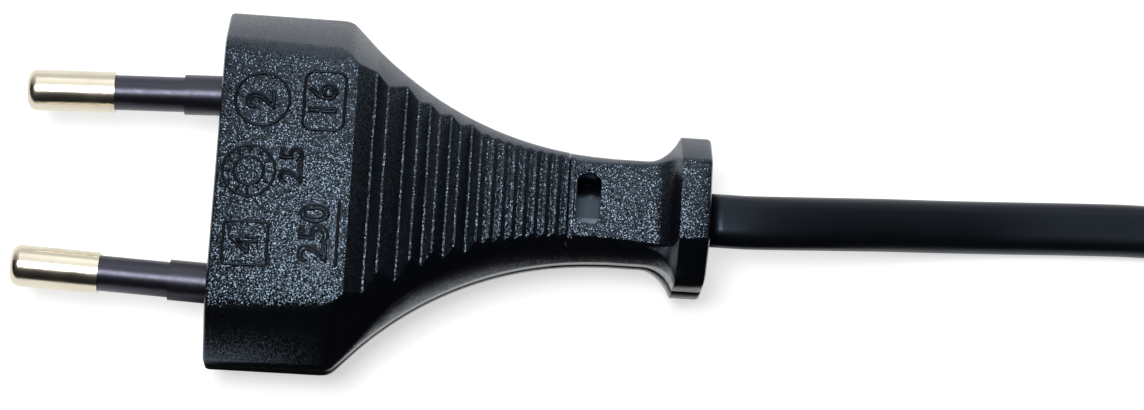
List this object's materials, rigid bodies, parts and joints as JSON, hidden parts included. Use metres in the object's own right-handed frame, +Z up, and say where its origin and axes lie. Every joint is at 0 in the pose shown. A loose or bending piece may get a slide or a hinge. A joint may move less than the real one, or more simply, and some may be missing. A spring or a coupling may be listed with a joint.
{
  "type": "europlug",
  "caption": "Flat two-pole mains plug moulded onto a flat two-core lead: ribbed tapering grip, converging sleeved round pins, rest of the lead in a tied hank.",
  "frame": {"origin": "middle of the engagement face, halfway between the two pins", "axes": "+X along the plug towards the lead, +Y across the pins, +Z up from the surface that the plug lies on"},
  "size_m": [0.2563, 0.0446, 0.0211],
  "materials": {
    "body_pvc": "fine spark-eroded grain",
    "sleeve_plastic": "satin",
    "bridge_plastic": "matte",
    "nickel_plated_brass": "nickel plated, satin",
    "copper_strands": "bare copper",
    "brown_insulation": "smooth",
    "blue_insulation": "smooth",
    "sheath_pvc": "satin",
    "tie_nylon": "satin",
    "collar_plastic": "smooth",
    "tinned_copper": "tin plated"
  },
  "bodies": {
    "root": {"plug_body": "body_pvc", "pin_bridge": "bridge_plastic", "pin_left": "nickel_plated_brass", "pin_right": "nickel_plated_brass", "sleeve_left": "sleeve_plastic", "sleeve_right": "sleeve_plastic", "strands_brown": "copper_strands", "strands_blue": "copper_strands", "core_brown": "brown_insulation", "core_blue": "blue_insulation", "sheath_end": "sheath_pvc", "cord": "sheath_pvc", "cord_hank": "sheath_pvc", "cable_tie_near": "tie_nylon", "cable_tie_far": "tie_nylon", "cord_tail": "sheath_pvc", "tail_core_brown": "brown_insulation", "tail_core_blue": "blue_insulation", "ferrule_collar_brown": "collar_plastic", "ferrule_collar_blue": "collar_plastic", "ferrule_tube_brown": "tinned_copper", "ferrule_tube_blue": "tinned_copper"}
  },
  "joints": []
}
